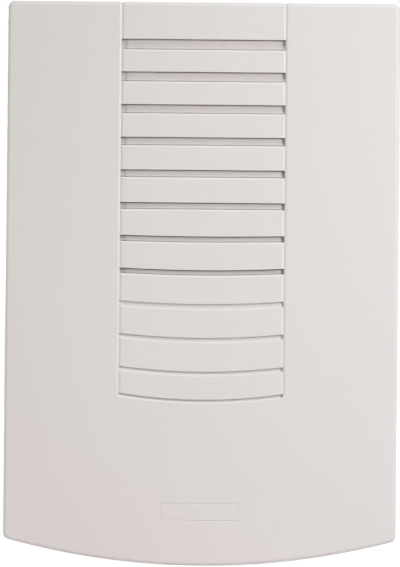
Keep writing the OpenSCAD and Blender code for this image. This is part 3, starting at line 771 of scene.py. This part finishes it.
# Front cover
# A moulded shell of off-white plastic that slips over the rim of the base.
# Sound leaves through a louvre of twelve slots between two fine grooves.
cover_low, cover_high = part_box("front_cover")
case_w = cover_high.x - cover_low.x
case_h = cover_high.z - cover_low.z
cover_depth = cover_high.y - cover_low.y
front_y = cover_low.y
bottom_sag = 9.3 * mm
corner_r = 2.4 * mm
corner_steps = 10
bottom_steps = 60
front_edge_r = 1.4 * mm
front_edge_steps = 12
cover_wall = 2.2 * mm
sharp_r = 0.2 * mm
bottom_r = (case_w ** 2 / 4 + bottom_sag ** 2) / (2 * bottom_sag)
bottom_centre = bottom_r - case_h / 2
past = 1 * mm

band_w = 58.6 * mm
groove_w = 1.5 * mm
groove_depth = 0.4 * mm
groove_overrun = 0.5 * mm
groove_back = 3 * mm
groove_bend_steps = 10
groove_edge_angle = math.radians(25)
louvre_t = 3.4 * mm
louvre_margin = 3 * mm
slot_count = 12
open_slots = 8
straight_slots = 6
first_slot_drop = 13.2 * mm
slot_pitch = 11.68 * mm
last_slot_pitch = 9.6 * mm
first_slot_h = 3.65 * mm
slot_h_step = 0.27 * mm
slot_sag_step = 0.38 * mm
open_extra_h = 0.2 * mm
slit_h = 0.2 * mm
floor_deep_share = 0.62
floor_shallow_share = 0.42
floor_thinning = 0.25
crease_w = 0.5 * mm
crease_depth = 0.42 * mm
left_notch_w = 1.9 * mm
left_notch_extra = 0.45 * mm
right_notch_w = 0.95 * mm
open_notch_deep = 2.9 * mm
open_notch_slope = 0.5
blind_extra_h = 0.45 * mm
blind_deep = 1 * mm
blind_shallow = 0.4 * mm
blind_notch_deep = 1.5 * mm
blind_notch_slope = 0.2
upper_lip_r = 0.15 * mm
open_lip_r = 1.2 * mm
open_lip_sweep = 40
blind_lip_r = 0.4 * mm
lip_steps = 5
proud = 0.002 * mm
slot_columns = 48
slot_overlap = 0.03 * mm
step_run = 0.01 * mm

frame_w = 27.8 * mm
frame_h = 6.5 * mm
frame_line = 0.5 * mm
frame_depth = 0.2 * mm
frame_rise = 19.1 * mm


def outline(inset):
    """The outline of the case moved in by inset: straight sides, a straight top and a curved bottom."""
    r = max(corner_r - inset, sharp_r)
    x = case_w / 2 - inset - r
    top = case_h / 2 - inset - r
    reach = bottom_r - inset - r
    low = bottom_centre - math.sqrt(reach ** 2 - x ** 2)
    swing = math.degrees(math.asin(x / reach))
    return (arc(x, top, r, 0, 90, corner_steps) + arc(-x, top, r, 90, 180, corner_steps)
            + arc(-x, low, r, 180, 270 - swing, corner_steps)
            + arc(0, bottom_centre, bottom_r - inset, 270 - swing, 270 + swing, bottom_steps)[1:-1]
            + arc(x, low, r, 270 + swing, 360, corner_steps))


def slab_loop(inset, depth):
    """The outline at a depth behind the front face."""
    return [(x, front_y + depth, z) for x, z in outline(inset)]


def slot_cutter(name, left_end, middle, right_end):
    """A cutter for the first slot, with a section of its own at each end. A point of a section is
    [drop, depth, rise, thinning]. The last two are how far it moves up, and out of the face, for each
    unit of height that a later slot is thinner by."""
    half = band_w / 2 + slot_overlap
    left_step = left_notch_w - band_w / 2
    right_step = band_w / 2 - right_notch_w
    span = right_step - left_step
    rows = [(-half, left_end), (left_step - step_run, left_end)]
    rows += [(left_step + span * i / slot_columns, middle) for i in range(slot_columns + 1)]
    rows += [(right_step + step_run, right_end), (half, right_end)]
    loops = []
    moves = []
    for x, section in rows:
        loops.append([(x, front_y + depth, -drop) for drop, depth, rise, thinning in section])
        moves += [move for drop, depth, rise, thinning in section for move in (0, -thinning, rise)]
    cutter = new_piece(name, lofted(loops))
    cutter.data.attributes.new("move", "FLOAT_VECTOR", "POINT").data.foreach_set("vector", moves)
    return cutter


def notch(floor, deep, slope):
    """The floor of a pocket at a slot's end, which rises from the upper edge at a steady slope."""
    return [(drop, deep - slope * drop, rise, -slope * rise) for drop, depth, rise, thinning in floor]


def lip(edge, radius, sweep, side, rise):
    """The rounded edge of a slot, from its wall out to the face: side -1 is the upper edge, 1 the
    lower. Its sweep is the angle in degrees that it turns through."""
    face_drop = edge + side * radius * math.sin(math.radians(sweep))
    bend = arc(face_drop, radius, radius, 270 - side * sweep, 270, lip_steps)
    return [(drop, depth - proud, rise, 0) for drop, depth in bend] + [(face_drop, -past, rise, 0)]


floor_deep = floor_deep_share * first_slot_h
floor_shallow = floor_shallow_share * first_slot_h
upper_lip = lip(0, upper_lip_r, 90, -1, 0)[::-1]
open_h = first_slot_h + open_extra_h
open_lip = lip(open_h, open_lip_r, open_lip_sweep, 1, 1)
slit = [(0, louvre_t + past, 0, 0), (slit_h, louvre_t + past, 0, 0)]
open_floor = [(slit_h, floor_deep, 0, floor_thinning),
              (open_h - crease_w, floor_shallow, 1, floor_thinning),
              (open_h - crease_w / 2, floor_shallow + crease_depth, 1, floor_thinning),
              (open_h, floor_shallow, 1, floor_thinning)]
open_left = [(drop, depth + left_notch_extra, rise, thinning)
             for drop, depth, rise, thinning in open_floor]
open_right = notch(open_floor, open_notch_deep, open_notch_slope)
open_sections = [upper_lip + slit + floor + open_lip for floor in (open_left, open_floor, open_right)]
open_cutter = slot_cutter("open_cutter", *open_sections)
blind_h = first_slot_h + blind_extra_h
blind_lip = lip(blind_h, blind_lip_r, 90, 1, 1)
blind_floor = [(0, blind_deep, 0, 0), (blind_h, blind_shallow, 1, 0)]
blind_right = notch(blind_floor, blind_notch_deep, blind_notch_slope)
blind_sections = [upper_lip + floor + blind_lip for floor in (blind_floor, blind_floor, blind_right)]
blind_cutter = slot_cutter("blind_cutter", *blind_sections)

# The V grooves run down both sides of the band, and over the top edge.
groove_bottom = (case_h / 2 - first_slot_drop - (slot_count - 2) * slot_pitch - last_slot_pitch
                 - groove_overrun)
groove_flare = groove_w / 2 * (1 + past / groove_depth)


def quarter_turn(steps):
    """The angles of a quarter turn, from nothing to upright."""
    return [math.radians(90 * i / steps) for i in range(steps + 1)]


def groove_loop(x, z, depth, lean):
    """The V of a groove at one place of its path, with its point turned in from the surface."""
    out = Vector((0, -math.cos(lean), math.sin(lean)))
    seat = Vector((x, front_y + depth, z))
    left, right = (seat + Vector((side * groove_flare, 0, 0)) + out * past for side in (-1, 1))
    return [left, seat - out * groove_depth, right]


def groove_cutter(x):
    """A groove's cutter: down the face, round the top edge and back along the top."""
    bend_z = case_h / 2 - front_edge_r
    bend = [(bend_z + front_edge_r * math.sin(a), front_edge_r * (1 - math.cos(a)), a)
            for a in quarter_turn(groove_bend_steps)]
    path = [(groove_bottom, 0, 0), *bend, (case_h / 2, front_edge_r + groove_back, math.radians(90))]
    return new_piece("groove_cutter", lofted([groove_loop(x, *step) for step in path]))


left_groove = groove_cutter(-band_w / 2)
right_groove = groove_cutter(band_w / 2)

# The engraved frame is one square ring with a V section.
frame_z = frame_rise - case_h / 2
frame_flare = frame_line / 2 * past / frame_depth
frame_section = ((-frame_flare, -past), (frame_line / 2, frame_depth), (frame_line + frame_flare, -past))
frame_corners = ((-1, -1), (1, -1), (1, 1), (-1, 1))
frame_build = bmesh.new()
frame_rings = []
for inset, depth in frame_section:
    half_w = frame_w / 2 - inset
    half_h = frame_h / 2 - inset
    frame_rings.append([frame_build.verts.new((x * half_w, front_y + depth, frame_z + z * half_h))
                        for x, z in frame_corners])
for ring, following in zip(frame_rings, frame_rings[1:] + frame_rings[:1]):
    for i in range(4):
        frame_build.faces.new((ring[i], ring[i - 3], following[i - 3], following[i]))
bmesh.ops.recalc_face_normals(frame_build, faces=frame_build.faces)
frame_cutter = new_piece("frame_cutter", frame_build)

# The hollow leaves the wall thicker behind the louvre.
hollow_cutter = new_piece("hollow_cutter", lofted([
    slab_loop(cover_wall, cover_wall), slab_loop(cover_wall, cover_depth + past)]))
pad_top = case_h / 2
pad_low = (groove_bottom - (slot_count - straight_slots) * slot_sag_step - first_slot_h / 2
           - louvre_margin)
pad_half = band_w / 2 + louvre_margin
pad = new_piece("pad", lofted([
    [(-pad_half, y, pad_low), (pad_half, y, pad_low), (pad_half, y, pad_top), (-pad_half, y, pad_top)]
    for y in (front_y + past, front_y + louvre_t)]))

front_loops = [slab_loop(front_edge_r * (1 - math.cos(a)), front_edge_r * (1 - math.sin(a)))
               for a in quarter_turn(front_edge_steps)]
cover = new_piece("cover_shell", lofted([slab_loop(0, cover_depth), *front_loops]))


def reckon(tree, operation, *values):
    """A sum on two values of a tree."""
    return add(tree, "ShaderNodeMath", *values, operation=operation)


def louvre_tree():
    """Cuts the row of slots, the grooves, the frame and the hollow out of the cover."""
    tree, given = new_tree(
        "louvre", slots="Int", open_slots="Int", straight_slots="Int", first_z="Float", pitch="Float",
        last_pitch="Float", height_step="Float", sag_step="Float", half_width="Float",
        open_cutter="Object", blind_cutter="Object", left_groove="Object", right_groove="Object",
        frame_cutter="Object", hollow="Object", pad="Object", finish="Material")
    start = add(tree, "ShaderNodeCombineXYZ", 0.0, 0.0, given["first_z"])
    step = add(tree, "ShaderNodeCombineXYZ", 0.0, 0.0, reckon(tree, "MULTIPLY", given["pitch"], -1.0))
    row = add(tree, "GeometryNodeMeshLine", given["slots"], start, step)
    index = add(tree, "GeometryNodeInputIndex")
    row = add(tree, "GeometryNodeStoreNamedAttribute", row, True, "slot", index)
    is_open = reckon(tree, "LESS_THAN", index, given["open_slots"])
    is_blind = reckon(tree, "SUBTRACT", 1.0, is_open)
    slots = [add(tree, "GeometryNodeInstanceOnPoints", row, chosen, shape_of(tree, given[cutter]))
             for chosen, cutter in ((is_open, "open_cutter"), (is_blind, "blind_cutter"))]
    cuts = add(tree, "GeometryNodeRealizeInstances", add(tree, "GeometryNodeJoinGeometry", slots))
    slot = add(tree, "GeometryNodeInputNamedAttribute", "slot", data_type="FLOAT")
    move = add(tree, "GeometryNodeInputNamedAttribute", "move", data_type="FLOAT_VECTOR")
    thinner = reckon(tree, "MULTIPLY", slot, given["height_step"])
    moved = add(tree, "ShaderNodeVectorMath", move, thinner, operation="SCALE")
    x = add(tree, "ShaderNodeSeparateXYZ", add(tree, "GeometryNodeInputPosition"))
    across = reckon(tree, "DIVIDE", x, given["half_width"])
    middle = reckon(tree, "SUBTRACT", 1.0, reckon(tree, "MULTIPLY", across, across))
    curved = reckon(tree, "SUBTRACT", reckon(tree, "ADD", slot, 1.0), given["straight_slots"])
    sag = reckon(tree, "MULTIPLY", reckon(tree, "MAXIMUM", curved, 0.0), given["sag_step"])
    last_one = reckon(tree, "GREATER_THAN", slot, reckon(tree, "SUBTRACT", given["slots"], 1.5))
    saved = reckon(tree, "SUBTRACT", given["pitch"], given["last_pitch"])
    closer = reckon(tree, "MULTIPLY", last_one, saved)
    up = reckon(tree, "SUBTRACT", closer, reckon(tree, "MULTIPLY", sag, middle))
    offset = add(tree, "ShaderNodeVectorMath", moved, add(tree, "ShaderNodeCombineXYZ", 0.0, 0.0, up))
    cuts = add(tree, "GeometryNodeSetPosition", cuts, True, None, offset)
    hollow = add(tree, "GeometryNodeMeshBoolean", shape_of(tree, given["hollow"]),
                 [shape_of(tree, given["pad"])], operation="DIFFERENCE", solver="MANIFOLD")
    others = [shape_of(tree, given[name]) for name in ("left_groove", "right_groove", "frame_cutter")]
    shell = add(tree, "GeometryNodeMeshBoolean", given["Geometry"], [hollow, cuts] + others,
                operation="DIFFERENCE", solver="MANIFOLD")
    end_tree(tree, shell, given["finish"])
    return tree


cover_plastic = finish("cover_plastic", light=(222, 219, 218), dark=(219, 216, 215), patch=30 * mm,
                       roughness=0.34, grain=0.4 * mm, depth=0.01 * mm)


def paint_shade_along(material, way, start, full, tone):
    """Paints shade and tinted light into the plastic's colour along a way, from one distance to another.
    """
    tree = material.node_tree
    socket = tree.nodes["Principled BSDF"].inputs["Base Color"]
    fresh = socket.links[0].from_socket
    place = add(tree, "ShaderNodeTexCoord", output="Object")
    along = add(tree, "ShaderNodeVectorMath", place, way, operation="DOT_PRODUCT", output="Value")
    share = add(tree, "ShaderNodeMapRange", along, start, full, 0.0, 1.0)
    tree.links.new(add(tree, "ShaderNodeMix", share, fresh, tone, data_type="RGBA"), socket)


# Painted shade and light in the cover's colour, one tone for each mark below. A slightly darker, pinker
# tone in the recesses paints their shade, with a dust tint.
paint_shade_along(cover_plastic, way=(0, 1, 0), start=front_y + 0.4 * mm, full=front_y + 1.6 * mm,
     tone=tint(223, 217, 217))
# A darker, warmer tone towards the upper left paints the shade where the light falls off.
paint_shade_along(cover_plastic, way=(-1, 0, 0.3), start=15 * mm, full=90 * mm, tone=tint(217, 213, 208))
# A darker, pinker tone towards the lower left paints the tint of the pink fill light.
paint_shade_along(cover_plastic, way=(-0.5, 0, -0.87), start=30 * mm, full=100 * mm, tone=tint(219, 211, 209))
cutters = dict(open_cutter=open_cutter, blind_cutter=blind_cutter, left_groove=left_groove,
               right_groove=right_groove, frame_cutter=frame_cutter, hollow=hollow_cutter, pad=pad)
grow(cover, louvre_tree(), slots=slot_count, open_slots=open_slots, straight_slots=straight_slots,
     first_z=case_h / 2 - first_slot_drop, pitch=slot_pitch, last_pitch=last_slot_pitch,
     height_step=slot_h_step, sag_step=slot_sag_step, half_width=band_w / 2, finish=cover_plastic,
     **cutters)
for cutter in cutters.values():
    bpy.data.objects.remove(cutter)
cover.data.shade_smooth()
cover.data.set_sharp_from_angle(angle=groove_edge_angle)
cover.modifiers.new("flat_faces", "WEIGHTED_NORMAL").keep_sharp = True
dress(cover, "cover", cover_plastic, "cover_plastic", "front_cover")


# Stage
# A pale studio floor under the box, in a white room with soft light from the upper right.
floor_half = 6
floor_build = bmesh.new()
bmesh.ops.create_grid(floor_build, x_segments=1, y_segments=1, size=floor_half,
                      matrix=Matrix.Translation((0, 0, cad_box[0].z)))
floor = new_piece("studio_floor", floor_build)


def sight_share(tree):
    """1 for what the camera, a mirror or a glass sees directly, and 0 for light on its way round
    the room."""
    path = tree.nodes.new("ShaderNodeLightPath").outputs
    seen = reckon(tree, "MAXIMUM", path["Is Camera Ray"], path["Is Glossy Ray"])
    return reckon(tree, "MAXIMUM", seen, path["Is Transmission Ray"])


# The paper looks nearly white by itself, and takes a part of its tone from the light, for its shadow.
paper_glow = 1.25
glow_share = 0.8
floor_paper = finish("floor_paper", light=(240, 240, 240), dark=(236, 236, 236), patch=400 * mm,
                     roughness=0.9, grain=2 * mm, depth=0.05 * mm)
paper = floor_paper.node_tree
glow = add(paper, "ShaderNodeEmission", None, paper_glow)
own_light = reckon(paper, "MULTIPLY", sight_share(paper), glow_share)
lit = paper.nodes["Principled BSDF"].outputs["BSDF"]
surface = add(paper, "ShaderNodeMixShader", own_light, lit, glow)
paper.links.new(surface, paper.nodes["Material Output"].inputs["Surface"])
floor.data.materials.append(floor_paper)

# The room is white to look at, and gives a soft light from all round.
room_fill = 0.18
room_tone = (1, 0.985, 0.975, 1)
room = bpy.data.worlds.new("studio_room")
bpy.context.scene.world = room
room.use_nodes = True
walls = room.node_tree
fill = walls.nodes["Background"]
fill.inputs["Color"].default_value = room_tone
fill.inputs["Strength"].default_value = room_fill
white = add(walls, "ShaderNodeBackground", (1, 1, 1, 1), 1.0)
seen_walls = add(walls, "ShaderNodeMixShader", sight_share(walls), fill.outputs["Background"], white)
walls.links.new(seen_walls, walls.nodes["World Output"].inputs["Surface"])


def hang_lamp(name, kind, place, power, colour=(1, 1, 1)):
    """A lamp that looks at the middle of the box."""
    lamp = bpy.data.lights.new(name, kind)
    lamp.energy = power
    lamp.color = colour
    holder = show(name, lamp)
    holder.location = place
    holder.rotation_euler = (-Vector(place)).to_track_quat("-Z", "Y").to_euler()
    return lamp


high_lamp = hang_lamp("high_lamp", "SUN", place=(0.25, -0.5, 1.0), power=1.6)
high_lamp.angle = math.radians(40)
side_lamp = hang_lamp("side_lamp", "AREA", place=(0.3, -0.42, 0.18), power=0.95, colour=(1, 0.99, 0.985))
side_lamp.size = 0.15
fill_lamp = hang_lamp("fill_lamp", "AREA", place=(-0.5, -0.12, -0.1), power=0.55, colour=(1, 0.95, 0.94))
fill_lamp.size = 0.4
back_lamp = hang_lamp("back_lamp", "AREA", place=(-0.3, 0.5, 0.15), power=1.7)
back_lamp.size = 0.3

# The camera looks at the middle of the front from a little below it, turned by half a degree.
camera_distance = 1.5
view_height = 202.2 * mm
camera_shift_x = -0.56 * mm
camera_shift_z = 0.07 * mm
camera_roll = math.radians(0.54)
camera_rise = math.radians(-1.2)
camera = bpy.data.cameras.new("front_camera")
camera.lens = camera.sensor_width * camera_distance / view_height
camera_holder = show("front_camera", camera)
camera_tilt = Matrix.Rotation(math.radians(90) - camera_rise, 4, "X")
camera_way = camera_tilt @ Matrix.Rotation(camera_roll, 4, "Z")
camera_back = camera_way @ Vector((0, 0, camera_distance))
camera_spot = Vector((camera_shift_x, front_y, camera_shift_z)) + camera_back
camera_holder.matrix_world = Matrix.Translation(camera_spot) @ camera_way
bpy.context.scene.camera = camera_holder
bpy.context.scene.view_settings.view_transform = "Standard"
